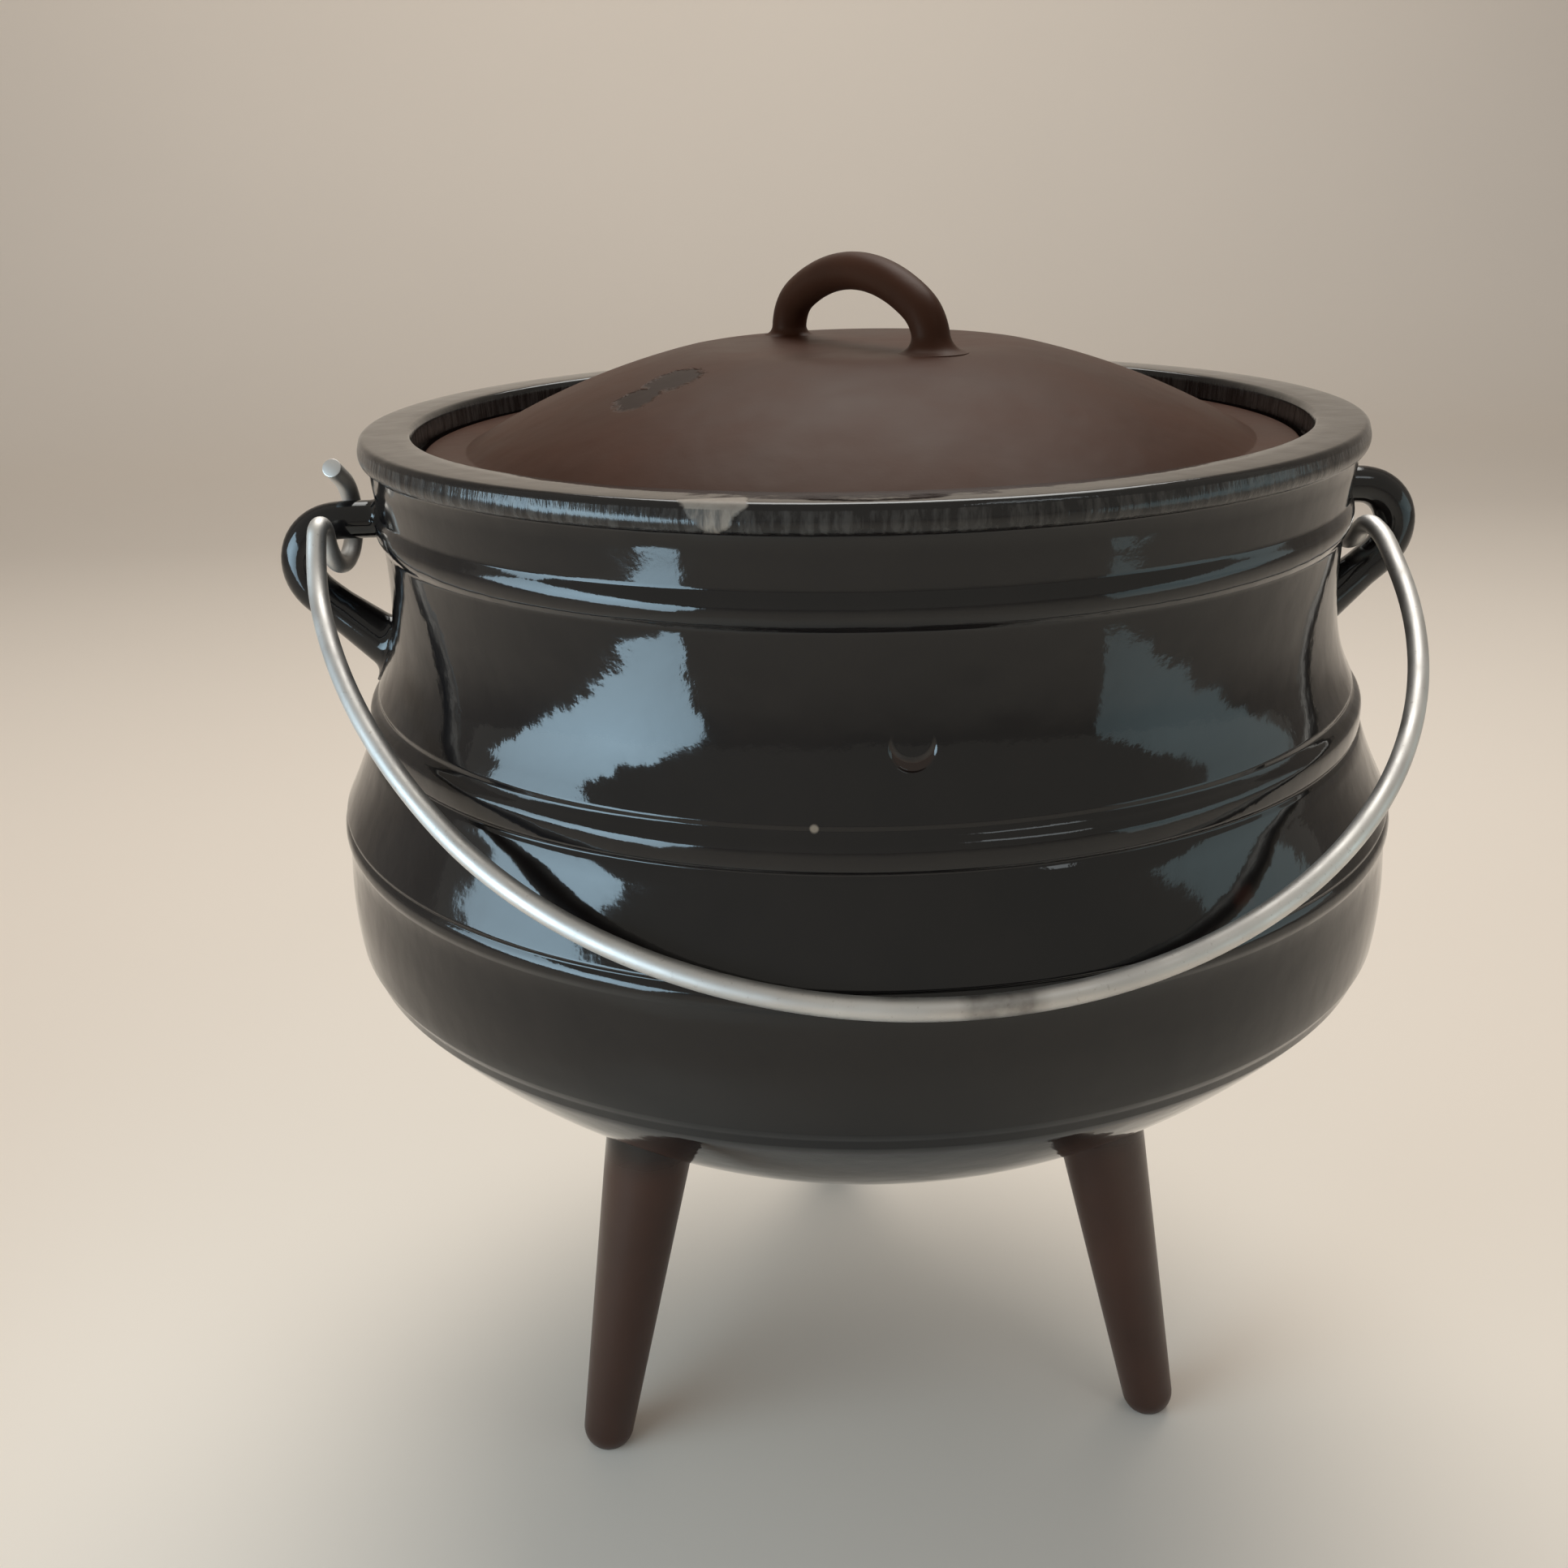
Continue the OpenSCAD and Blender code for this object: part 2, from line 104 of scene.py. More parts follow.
def thinned(points, angle, longest):
    """Keeps a point where the line has turned by angle degrees or run for longest since the last."""
    kept, turned, run = [0], 0.0, 0.0
    for i in range(1, len(points) - 1):
        a, b = points[i] - points[i - 1], points[i + 1] - points[i]
        run += np.linalg.norm(a)
        c = np.clip(a @ b / (np.linalg.norm(a) * np.linalg.norm(b)), -1, 1)
        turned += math.degrees(math.acos(c))
        if turned > angle or run > longest:
            kept.append(i)
            turned, run = 0.0, 0.0
    return points[kept + [len(points) - 1]]


def unit(v):
    return np.array(v, float) / np.linalg.norm(v)


# ---------------------------------------------------------------- meshes
def make_mesh(name, shells, sharp=50):
    """One smooth-shaded object of closed shells, each (vertices in mm, faces)."""
    bm = bmesh.new()
    for verts, faces in shells:
        vs = [bm.verts.new(Vector((v + AXIS) * MM)) for v in verts]
        fs = [bm.faces.new([vs[i] for i in f]) for f in faces]
        bmesh.ops.recalc_face_normals(bm, faces=fs)
    for f in bm.faces:
        f.smooth = True
    me = bpy.data.meshes.new(name)
    bm.to_mesh(me)
    bm.free()
    me.set_sharp_from_angle(angle=math.radians(sharp))
    ob = bpy.data.objects.new(name, me)
    bpy.context.scene.collection.objects.link(ob)
    return ob


def revolve(profile, n):
    """Closed shell from a profile of (radius, z) whose two ends lie on the axis."""
    a = np.linspace(0, 2 * math.pi, n, endpoint=False)
    mid = profile[1:-1]
    ring = np.stack([np.outer(mid[:, 0], np.sin(a)), np.outer(mid[:, 0], -np.cos(a)),
                     np.repeat(mid[:, 1:], n, 1)], 2)
    verts = np.concatenate([ring.reshape(-1, 3), [[0, 0, profile[0, 1]], [0, 0, profile[-1, 1]]]])
    m = len(mid)
    first, last = m * n, m * n + 1
    faces = []
    for j in range(n):
        k = (j + 1) % n
        faces.append((first, j, k))
        faces.append((last, (m - 1) * n + k, (m - 1) * n + j))
        for i in range(m - 1):
            faces.append((i * n + j, (i + 1) * n + j, (i + 1) * n + k, i * n + k))
    return verts, faces


def rings_along(path, radius, n, up):
    """Rings of a tube: (k, n, 3) points, carried along the path without twist."""
    path = np.array(path, float)
    way = np.gradient(path, axis=0)
    way /= np.linalg.norm(way, axis=1)[:, None]
    side = unit(np.cross(up, way[0]))
    a = np.linspace(0, 2 * math.pi, n, endpoint=False)
    out = []
    for p, w, r in zip(path, way, radius):
        side = unit(side - (side @ w) * w)
        other = np.cross(w, side)
        out.append(p + r * (np.cos(a)[:, None] * side + np.sin(a)[:, None] * other))
    return np.array(out)


def closed_tube(rings):
    """Closed shell from rings, with a fan at each end."""
    k, n = rings.shape[:2]
    verts = np.concatenate([rings.reshape(-1, 3), [rings[0].mean(0), rings[-1].mean(0)]])
    faces = []
    for j in range(n):
        m = (j + 1) % n
        faces.append((k * n, m, j))
        faces.append((k * n + 1, (k - 1) * n + j, (k - 1) * n + m))
        for i in range(k - 1):
            faces.append((i * n + j, i * n + m, (i + 1) * n + m, (i + 1) * n + j))
    return verts, faces


def height_over(points, line):
    """Signed distance of points from the surface of revolution whose (radius, z) outline is line,
    which runs from the axis over the outside and back to the axis."""
    q = np.stack([np.hypot(points[..., 0], points[..., 1]), points[..., 2]], -1).reshape(-1, 2)
    a, b = line[:-1], line[1:]
    ab = b - a
    t = np.clip(((q[:, None] - a) * ab).sum(2) / (ab * ab).sum(1), 0, 1)
    d = np.linalg.norm(q[:, None] - (a + t[..., None] * ab), axis=2).min(1)
    up = (a[:, 1] > q[:, 1:2]) != (b[:, 1] > q[:, 1:2])
    with np.errstate(divide="ignore", invalid="ignore"):
        cross = a[:, 0] + (q[:, 1:2] - a[:, 1]) * ab[:, 0] / ab[:, 1]
    inside = (up & (cross > q[:, 0:1])).sum(1) % 2 == 1
    return np.where(inside, -d, d).reshape(points.shape[:-1])


def grown_on(path, radius, host, n, up, depth, fillets, rows):
    """A tube whose ends sink into host by depth and sweep out, by one fillet each, where they meet it."""
    path = spaced(path, TUBE_STEP)
    s = np.linspace(0, 1, len(path))
    rings = rings_along(path, np.interp(s, np.linspace(0, 1, len(radius)), radius), n, up)
    d = height_over(rings, host)
    out = np.empty((rows, n, 3))
    for j in range(n):
        free = np.where(d[:, j] > -depth)[0]
        first, last = (free[0] if d[0, j] <= -depth else 0), free[-1]
        u = np.linspace(0, 1, rows)
        if d[0, j] <= -depth:
            u = 0.5 - 0.5 * np.cos(math.pi * u)
        else:
            u = np.sin(math.pi / 2 * u)
        at = first + (last - first) * u
        i = np.minimum(at.astype(int), len(path) - 2)
        f = (at - i)[:, None]
        p = rings[i, j] * (1 - f) + rings[i + 1, j] * f
        c = path[i] * (1 - f) + path[i + 1] * f
        near = height_over(p, host)
        fillet = np.interp(u, [0.3, 0.7], fillets)
        x = np.clip((fillet - near) / fillet, 0, 1)
        push = fillet * (1 - np.sqrt(1 - x * x))
        away = p - c
        size = np.linalg.norm(away, axis=1)[:, None]
        out[:, j] = p + np.where(size > 1e-6, away / np.maximum(size, 1e-6), 0) * push[:, None]
    return out


# ---------------------------------------------------------------- how fine the meshes are
OUTLINE_STEP, OUTLINE_RUN = 0.35, 3.4      # spacing of a softened outline, longest piece kept of it
POT_EDGE, LID_EDGE = 0.32, 0.4             # how widely lacquer rounds the corners
POT_TURN, LID_TURN, WIRE_TURN = 7.0, 6.0, 5.0
POT_SIDES, LID_SIDES, EAR_SIDES, LEG_SIDES, HANDLE_SIDES, WIRE_SIDES = 224, 200, 40, 44, 40, 28
EAR_ROWS, LEG_ROWS, HANDLE_ROWS = 78, 44, 96
HOST_STEP = 0.8                            # spacing of the outline that a tube grows out of
TUBE_STEP, WIRE_STEP, WIRE_SOFT, WIRE_RUN = 0.4, 0.5, 0.6, 3.0

# ---------------------------------------------------------------- pot casting
# heights of the outline count from the rim down; sizes are those of the part's source
RIM_R, RIM_FACE, RIM_STEP, RIM_EDGE, WALL = 126.0, 6.0, 1.6, 1.5, 4.5
NECK_DEPTH, NECK_FOOT, WAIST_R, WAIST_DEPTH = 64.5, 128.0, 122.4, 44.0
BELLY_R, BELLY_DEPTH, BOWL_R, BOWL_C = 140.0, 131.6, 177.0, 22.0
BAND1, BAND1_H, BAND1_RISE = 22.0, 8.0, 1.5
BAND2_R, BAND2_H, BAND3, BAND3_H, GROOVE = 130.5, 7.0, 95.5, 4.5, 0.7
RECESS_R, RECESS, THROAT_R, LEDGE = 113.0, 10.0, 105.5, 5.0

# small steps, lips and swellings of the outline
NECK_START, NECK_BOW, NECK_DIP, NECK_LIP = 1, 0.9, 2.4, 1.1
RIM_LEAN, RIM_HOLLOW, RIM_LIP = 0.3, 0.6, 0.4
SHOULDER_STEP, SHOULDER_ROUND, SHOULDER_SWELL = 2.5, 2.6, 0.5
FLARE_STEP, FLARE_LEAVE, FLARE_ARRIVE = 1.5, (2.9, 10.0), (4.0, 6.8)
BELLY_BREAK, BELLY_DIP, BELLY_FADE, BELLY_INSET = 0.6, 0.7, 5, 0.8
BAND_STEP, LINE_STEP = 1.2, 1.5
BOWL_LIFT, BOWL_LIP, HOLLOW_LIFT = 2, (0.35, 2.2), 3
THROAT_EDGE, THROAT_RUN = 1, 12
BELLY_SHY = 0.055                          # keeps the round belly inside the flat-sided one of the CAD

neck = [[RIM_R - RIM_STEP, -RIM_FACE - NECK_START], [WAIST_R - NECK_BOW, -WAIST_DEPTH * 0.72],
        [WAIST_R - NECK_DIP, -WAIST_DEPTH * 1.15], [NECK_FOOT, -NECK_DEPTH]]
band_top = bezier_find(neck, -BAND1 + BAND1_H / 2)
band_foot = bezier_find(neck, -BAND1 - BAND1_H / 2)
b2_top = -NECK_DEPTH - SHOULDER_STEP
b2_foot = b2_top - BAND2_H
flare = [[BAND2_R + RIM_LEAN, b2_foot - FLARE_STEP], [BAND2_R + FLARE_LEAVE[0], b2_foot - FLARE_LEAVE[1]],
         [BELLY_R - FLARE_ARRIVE[0], -BAND3 + FLARE_ARRIVE[1]], [BELLY_R - BELLY_BREAK, -BAND3]]
b3_top = -BAND3 - BAND_STEP
b3_foot = b3_top - BAND3_H - LINE_STEP
bowl_angle = -math.degrees(math.asin((BELLY_DEPTH + BOWL_LIFT - BOWL_C) / BOWL_R))
bowl_edge = arc([0, -BOWL_C], BOWL_R, bowl_angle, bowl_angle, 1)[0]
outside = np.concatenate([
    arc([RIM_R - RIM_EDGE, -RIM_EDGE], RIM_EDGE, 90, 0, 6),
    swell([RIM_R - RIM_LEAN, -RIM_FACE], [RIM_R, -RIM_EDGE - RIM_LEAN], -RIM_HOLLOW, 6)[::-1],
    [[RIM_R - RIM_STEP, -RIM_FACE - RIM_LIP]],
    bezier(neck, 0, band_top, 6),
    swell(bezier(neck, band_top, band_top, 1)[0], bezier(neck, band_foot, band_foot, 1)[0], BAND1_RISE, 12),
    bezier(neck, band_foot, 1, 30),
    [[NECK_FOOT - RIM_LEAN, -NECK_DEPTH - NECK_LIP]],
    swell([NECK_FOOT + BELLY_BREAK, b2_top], [BAND2_R, b2_top - SHOULDER_ROUND], SHOULDER_SWELL, 6),
    [[BAND2_R, b2_foot + BELLY_DIP], [BAND2_R - GROOVE, b2_foot - RIM_LIP]],
    bezier(flare, 0, 1, 20),
    [[BELLY_R - BELLY_BREAK - GROOVE, -BAND3 - BELLY_BREAK]],
    swell([BELLY_R - BELLY_DIP, b3_top], [BELLY_R - BELLY_DIP, b3_top - BAND3_H], BELLY_DIP, 6),
    [[BELLY_R - BELLY_DIP, b3_foot]],
    swell([BELLY_R - BELLY_BREAK, b3_foot - BELLY_FADE], [BELLY_R - BELLY_INSET, -BELLY_DEPTH + NECK_DIP],
          BELLY_BREAK, 8),
    [bowl_edge + BOWL_LIP],
    arc([0, -BOWL_C], BOWL_R, bowl_angle, -90, 40),
])
in_neck = np.array(neck) - [WALL, 0]
flare_in = bezier_find(in_neck, -RECESS - LEDGE - THROAT_RUN)
hollow_r = BOWL_R - WALL
hollow_angle = -math.degrees(math.asin((BELLY_DEPTH - HOLLOW_LIFT - BOWL_C) / hollow_r))
inside = np.concatenate([
    [[RECESS_R + 1.2, 0], [RECESS_R + 0.5, -0.4], [RECESS_R, -1.3], [RECESS_R - 0.4, -RECESS + 0.5],
     [RECESS_R - 1.2, -RECESS]],
    arc([THROAT_R + THROAT_EDGE, -RECESS - THROAT_EDGE], THROAT_EDGE, 90, 180, 6),
    [[THROAT_R, -RECESS - LEDGE]],
    bezier(in_neck, flare_in, 1, 24),
    bezier(np.array(flare) - [WALL, 0], 0, 1, 10),
    [[BELLY_R - BELLY_DIP - WALL, b3_foot]],
    arc([0, -BOWL_C], hollow_r, hollow_angle, -90, 40),
])
body_line = softened(np.concatenate([inside[::-1], outside]), OUTLINE_STEP, POT_EDGE)
body_line[:, 0] = np.minimum(body_line[:, 0], BELLY_R - BELLY_SHY)
body_line[:, 1] += RIM
pot_shell = revolve(thinned(body_line, POT_TURN, OUTLINE_RUN), POT_SIDES)
host_line = spaced(np.concatenate([[[0, RIM]], outside + [0, RIM]]), HOST_STEP)

EAR_BAR, EAR_BEND_BAR, EAR_ROOT = 4.9, 5.3, 7.4
EAR_REACH, EAR_BEND, EAR_SWEEP, EAR_ARM = 135.2, 11.1, 140.0, 26.0
EAR_START, EAR_SINK, EAR_FILLET, EAR_SOFT = 4, 2.4, 3.0, 1.6
# about the tube's length, and the share of it where the lower arm starts
EAR_LENGTH, EAR_UNDER = 75.0, 0.68
ear_c = np.array([EAR_REACH, EAR_TOP - EAR_BEND])
low = math.radians(90 - EAR_SWEEP)
ear_low = ear_c + EAR_BEND * np.array([math.cos(low), math.sin(low)])
ear_way = np.array([math.sin(low), -math.cos(low)])
ear_line = np.concatenate([[[RECESS_R + EAR_START, EAR_TOP]], arc(ear_c, EAR_BEND, 90, 90 - EAR_SWEEP, 40),
                           [ear_low + ear_way * (EAR_ARM + EAR_START)]])


def ear(side):
    line = softened(ear_line, TUBE_STEP, EAR_SOFT)
    path = np.stack([side * line[:, 0], np.zeros(len(line)), line[:, 1]], 1)
    s = np.linspace(0, 1, 60)
    over = (EAR_REACH - RECESS_R) / EAR_LENGTH
    radius = np.interp(s, [0, over - 0.02, over + 0.1, EAR_UNDER - 0.05, EAR_UNDER, 1],
                       [EAR_BAR, EAR_BAR, EAR_BEND_BAR, EAR_BEND_BAR, EAR_BEND_BAR, EAR_ROOT])
    return closed_tube(grown_on(path, radius, host_line, EAR_SIDES, (0, 1, 0), EAR_SINK,
                                (EAR_FILLET, EAR_FILLET), EAR_ROWS))


LEG_SPLAY, FOOT_REACH, LEG_ROOT, LEG_TIP, LEG_L, FOOT_FLAT = 12.0, 91.8, 12.7, 7.2, 102.0, 2.2
LEG_OVER, LEG_SHOULDER, LEG_SINK, LEG_FILLET, LEG_TURNS = 18, 13, 2.6, 7.5, (60, -60, 180)


def leg(turn):
    """Turn is the leg's angle from the front, towards the right."""
    a, t = math.radians(turn), math.radians(LEG_SPLAY)
    out = np.array([math.sin(a), -math.cos(a), 0])
    up = np.array([0, 0, math.cos(t)]) - out * math.sin(t)
    start = out * FOOT_REACH + [0, 0, LEG_TIP - FOOT_FLAT]
    way = np.linspace(0, LEG_L + LEG_OVER, 60)
    slope = (LEG_ROOT - BELLY_BREAK - LEG_TIP) / (LEG_L - LEG_SHOULDER)
    shaft = grown_on(start + up * way[:, None], LEG_TIP + slope * way, host_line, LEG_SIDES, out, LEG_SINK,
                     (LEG_FILLET, LEG_FILLET), LEG_ROWS)
    tip = np.radians(np.linspace(-86, -6, 12))
    first = shaft[0] - start
    foot = np.array([start + first * math.cos(q) + up * LEG_TIP * math.sin(q) for q in tip])
    rings = np.concatenate([foot, shaft])
    rings[..., 2] = np.maximum(rings[..., 2], 0.0)
    return closed_tube(rings)


pot = make_mesh("pot_casting", [pot_shell, ear(1), ear(-1)] + [leg(t) for t in LEG_TURNS])
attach(pot, "pot")
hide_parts("pot")

# ---------------------------------------------------------------- lid casting
LID_GAP, LID_T, DOME_R, DOME_EDGE, PLATEAU, PLATEAU_ROUND, FLANGE_EDGE = 2.0, 4.0, 200.0, 100.3, 41.7, 5.0, 1
dome_c = -RECESS + LID_T - math.sqrt(DOME_R ** 2 - DOME_EDGE ** 2)
lid_r = RECESS_R - LID_GAP
inner_dome = DOME_R - LID_T


def dome_z(r, x):
    return dome_c + math.sqrt(r * r - x * x)


deg = math.degrees
plateau = dome_z(DOME_R, PLATEAU)
lid_top = np.concatenate([
    [[0, plateau]],
    bezier([[PLATEAU - PLATEAU_ROUND, plateau], [PLATEAU - 1.5, plateau], [PLATEAU + 1.2, plateau - 0.3],
            [PLATEAU + PLATEAU_ROUND, dome_z(DOME_R, PLATEAU + PLATEAU_ROUND)]], 0, 1, 10),
    arc([0, dome_c], DOME_R, deg(math.acos((PLATEAU + PLATEAU_ROUND) / DOME_R)),
        deg(math.acos(DOME_EDGE / DOME_R)), 24),
    [[DOME_EDGE + 1, -RECESS + LID_T]],
    arc([lid_r - FLANGE_EDGE, -RECESS + LID_T - FLANGE_EDGE], FLANGE_EDGE, 90, 0, 4),
])
lid_under = np.concatenate([
    arc([lid_r - FLANGE_EDGE, -RECESS + FLANGE_EDGE], FLANGE_EDGE, 0, -90, 4),
    arc([0, dome_c], inner_dome, deg(math.asin((-RECESS - dome_c) / inner_dome)),
        deg(math.acos((PLATEAU - LID_T) / inner_dome)), 24),
    [[0, dome_z(inner_dome, PLATEAU - LID_T)]],
])
lid_line = softened(np.concatenate([lid_top, lid_under]), OUTLINE_STEP, LID_EDGE)
lid_line[:, 1] += RIM
lid_shell = revolve(thinned(lid_line, LID_TURN, OUTLINE_RUN), LID_SIDES)
lid_host = spaced(np.concatenate([lid_top + [0, RIM], [[0, RIM - RECESS - 20]]]), HOST_STEP)

# the handle: two tight bends under one wide arch
H_TURN, H_HALF, H_RISE, H_BAR, H_BEND = -61.5, 32.0, 22.2, 4.6, 11.0
H_CLEAR, H_ROOT, H_SINK, H_FILLETS, H_SOFT = 1, 6, 1.6, (4.4, 2.4), 1.5
H_TOP = plateau + H_RISE
high, low_z = H_TOP - H_BAR, plateau + H_CLEAR
bend_in, bend_up = H_HALF - H_BEND, H_TOP - H_BAR - plateau - H_CLEAR - H_BEND
drop = (bend_in ** 2 - bend_up ** 2) / (2 * bend_up)
arch_r = math.hypot(bend_in, drop) + H_BEND
arch_half = deg(math.atan(bend_in / drop))
half_line = np.concatenate([
    [[H_HALF, plateau - H_ROOT]],
    arc([bend_in, low_z], H_BEND, 0, 90 - arch_half, 14),
    arc([0, high - arch_r], arch_r, 90 - arch_half, 90, 30),
])
handle_line = np.concatenate([half_line, half_line[::-1][1:] * [-1, 1]])
line = softened(handle_line, TUBE_STEP, H_SOFT) + [0, RIM]
ha = math.radians(H_TURN)
h_path = np.stack([line[:, 0] * math.cos(ha), line[:, 0] * math.sin(ha), line[:, 1]], 1)
handle = closed_tube(grown_on(h_path, [H_BAR, H_BAR], lid_host, HANDLE_SIDES,
                              (math.sin(ha), -math.cos(ha), 0), H_SINK, H_FILLETS, HANDLE_ROWS))

lid = make_mesh("lid_casting", [lid_shell, handle])
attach(lid, "pot")
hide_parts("lid")

# ---------------------------------------------------------------- wire bail
BELLY_EDGE, BAIL_GAP, BAIL_LEAN, LEAD, SLIP, BAIL_INSET = BELLY_R - BELLY_BREAK, 0.35, 1.45, 1.46, 3.7, 9.7
WIRE, SEAM, R_ANGLE, L_ANGLE, L_END, R_ARM, HOOK_R = 2.45, 0.05, 88.0, 53.0, 76.0, 8.0, 11.3
CURVE, L_CURVE = BELLY_R - BAIL_INSET, BELLY_R + 65.0
CROSS, FALL = BELLY_R - BAIL_LEAN, EAR_TOP - (RIM - BAND3)
FAR = math.hypot(CROSS, FALL)
SLOPE = math.atan(FALL / CROSS) + math.asin(LEAD / FAR)
touch_side = SLIP + math.sqrt((BELLY_EDGE + WIRE + SEAM + BAIL_GAP) ** 2 - CROSS ** 2)
REACH = CURVE + math.sqrt(FAR ** 2 - LEAD ** 2) - math.sqrt(CURVE ** 2 - touch_side ** 2)
# reach, drop, turn, start and end of each side's hook; the right side is 1, the left -1
HOOKS = {1: (EAR_REACH - 2.2, 3.4, 0.5, 220.0, 385.0), -1: (EAR_REACH + 0.1, 0.0, 8.0, 188.0, 420.0)}
STUB = 7.75
out_way = np.array([0, -math.cos(SLOPE), -math.sin(SLOPE)])
X = np.array([1.0, 0, 0])


def round_way(t):
    return math.sin(math.radians(t)) * X + math.cos(math.radians(t)) * out_way


def arm_way(t):
    return math.cos(math.radians(t)) * X - math.sin(math.radians(t)) * out_way


def bow(middle, r, t0, t1, n):
    return [middle + r * round_way(t) for t in np.linspace(t0, t1, n)]


def turn(a, u, side, v, n):
    """Round bend that leaves a with heading u, with straight sides of that length, to heading v."""
    angle = math.acos(np.clip(u @ v, -1, 1))
    r = side / math.tan(angle / 2)
    inward = unit(v - (u @ v) * u)
    return [a + inward * r * (1 - math.cos(t)) + u * r * math.sin(t) for t in np.linspace(0, angle, n)]


def hook(a, u, reach, fall, yaw, start, stop):
    """The bend over, the hook and the stub that follow an arm which ends at a with heading u."""
    yaw, t = math.radians(yaw), math.radians(start)
    side, up = np.array([-math.sin(yaw), math.cos(yaw), 0]), np.array([0, 0, 1.0])
    middle = np.array([reach, 0, -fall])
    first = middle + HOOK_R * (side * math.cos(t) + up * math.sin(t))
    way = -side * math.sin(t) + up * math.cos(t)
    w, s = first - a, u + way
    k, m = 4 - s @ s, w @ s
    straight = (-m + math.sqrt(m * m + k * (w @ w))) / k
    over = unit(first - way * straight - a - u * straight)
    points = turn(a, u, straight, over, 10) + turn(a + (u + over) * straight, over, straight, way, 22)[1:]
    end = math.radians(stop)
    points += [middle + HOOK_R * (side * math.cos(q) + up * math.sin(q)) for q in np.linspace(t, end, 44)[1:]]
    tail = -side * math.sin(end) + up * math.cos(end)
    return points + [points[-1] + tail * STUB * q for q in (0.25, 0.5, 0.75, 1.0)]


middle = SLIP * X + out_way * (REACH - CURVE) + LEAD * np.array([0, -math.sin(SLOPE), math.cos(SLOPE)])
flip = np.array([-1.0, 1, 1])
r_end = middle + CURVE * round_way(R_ANGLE) + R_ARM * arm_way(R_ANGLE)
right = hook(r_end, arm_way(R_ANGLE), *HOOKS[1])
l_middle = middle * flip + (CURVE - L_CURVE) * round_way(L_ANGLE)
l_bow = bow(l_middle, L_CURVE, L_ANGLE, L_END, 20)
left = hook(l_bow[-1], arm_way(L_END), *HOOKS[-1])
bail_path = [p * flip for p in reversed(l_bow + left[1:])]
bail_path += bow(middle, CURVE, -L_ANGLE, R_ANGLE, 90)[1:] + right
bail_path = np.array(bail_path) + [0, 0, EAR_TOP]
bail_path = thinned(softened(bail_path, WIRE_STEP, WIRE_SOFT), WIRE_TURN, WIRE_RUN)
rings = rings_along(bail_path, np.full(len(bail_path), WIRE), WIRE_SIDES, (0, 0, 1))
ends = []
for k, step in ((0, 1), (-1, -1)):
    # each cut end keeps a small bevel: two more rings, as share of the radius and distance out
    c, w = bail_path[k], unit(bail_path[k] - bail_path[k + step])
    ends.append([c + w * 0.05 + (rings[k] - c) * 0.97, c + w * 0.12 + (rings[k] - c) * 0.9])
rings = np.concatenate([ends[0][::-1], rings, ends[1]])
bail = make_mesh("bail_wire", [closed_tube(rings)])
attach(bail, "bail")
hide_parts("bail")


# ---------------------------------------------------------------- materials
class Nodes:
    def __init__(self, name):
        self.mat = bpy.data.materials.new(name)
        self.mat.use_nodes = True
        self.tree = self.mat.node_tree
        self.tree.nodes.clear()
        self.shader = self.add("ShaderNodeBsdfPrincipled")
        out = self.add("ShaderNodeOutputMaterial")
        self.tree.links.new(self.shader.outputs[0], out.inputs["Surface"])
        self.place = self.add("ShaderNodeTexCoord").outputs["Object"]

    def add(self, kind, **props):
        node = self.tree.nodes.new(kind)
        for key, value in props.items():
            setattr(node, key, value)
        return node

    def feed(self, socket, value):
        if isinstance(value, bpy.types.NodeSocket):
            self.tree.links.new(value, socket)
        else:
            socket.default_value = value

    def noise(self, scale, detail=2.0, rough=0.5, where=None, distort=0.0):
        n = self.add("ShaderNodeTexNoise")
        self.feed(n.inputs["Vector"], where or self.place)
        n.inputs["Scale"].default_value = scale
        n.inputs["Detail"].default_value = detail
        n.inputs["Roughness"].default_value = rough
        n.inputs["Distortion"].default_value = distort
        return n.outputs["Fac"]

    def math(self, kind, a, b=0.0, c=0.0):
        n = self.add("ShaderNodeMath", operation=kind)
        for socket, value in zip(n.inputs, (a, b, c)):
            self.feed(socket, value)
        return n.outputs[0]

    def fit(self, value, a, b, to_a=0.0, to_b=1.0, smooth=False):
        n = self.add("ShaderNodeMapRange")
        if smooth:
            n.interpolation_type = "SMOOTHSTEP"
        for socket, v in zip(n.inputs, (value, a, b, to_a, to_b)):
            self.feed(socket, v)
        return n.outputs[0]

    def mix(self, fac, a, b):
        n = self.add("ShaderNodeMix", data_type="RGBA")
        self.feed(n.inputs["Factor"], fac)
        self.feed(n.inputs[6], a)
        self.feed(n.inputs[7], b)
        return n.outputs[2]

    def bump(self, height, distance, strength=1.0, normal=None):
        n = self.add("ShaderNodeBump")
        n.inputs["Strength"].default_value = strength
        n.inputs["Distance"].default_value = distance
        self.feed(n.inputs["Height"], height)
        if normal is not None:
            self.feed(n.inputs["Normal"], normal)
        return n.outputs[0]

    def axes(self):
        n = self.add("ShaderNodeSeparateXYZ")
        self.feed(n.inputs[0], self.place)
        return n.outputs

    def spot(self, centre, size):
        """0 at centre to 1 and more at size metres from it."""
        n = self.add("ShaderNodeVectorMath", operation="DISTANCE")
        self.feed(n.inputs[0], self.place)
        n.inputs[1].default_value = centre
        return self.math("DIVIDE", n.outputs["Value"], size)

    def set(self, **values):
        for key, value in values.items():
            self.feed(self.shader.inputs[key.replace("_", " ")], value)


def on_pot(x, y, z):
    """A place on the pot, from millimetres about its axis with z from the rim."""
    return tuple((np.array([x, y, z + RIM]) + AXIS) * MM)


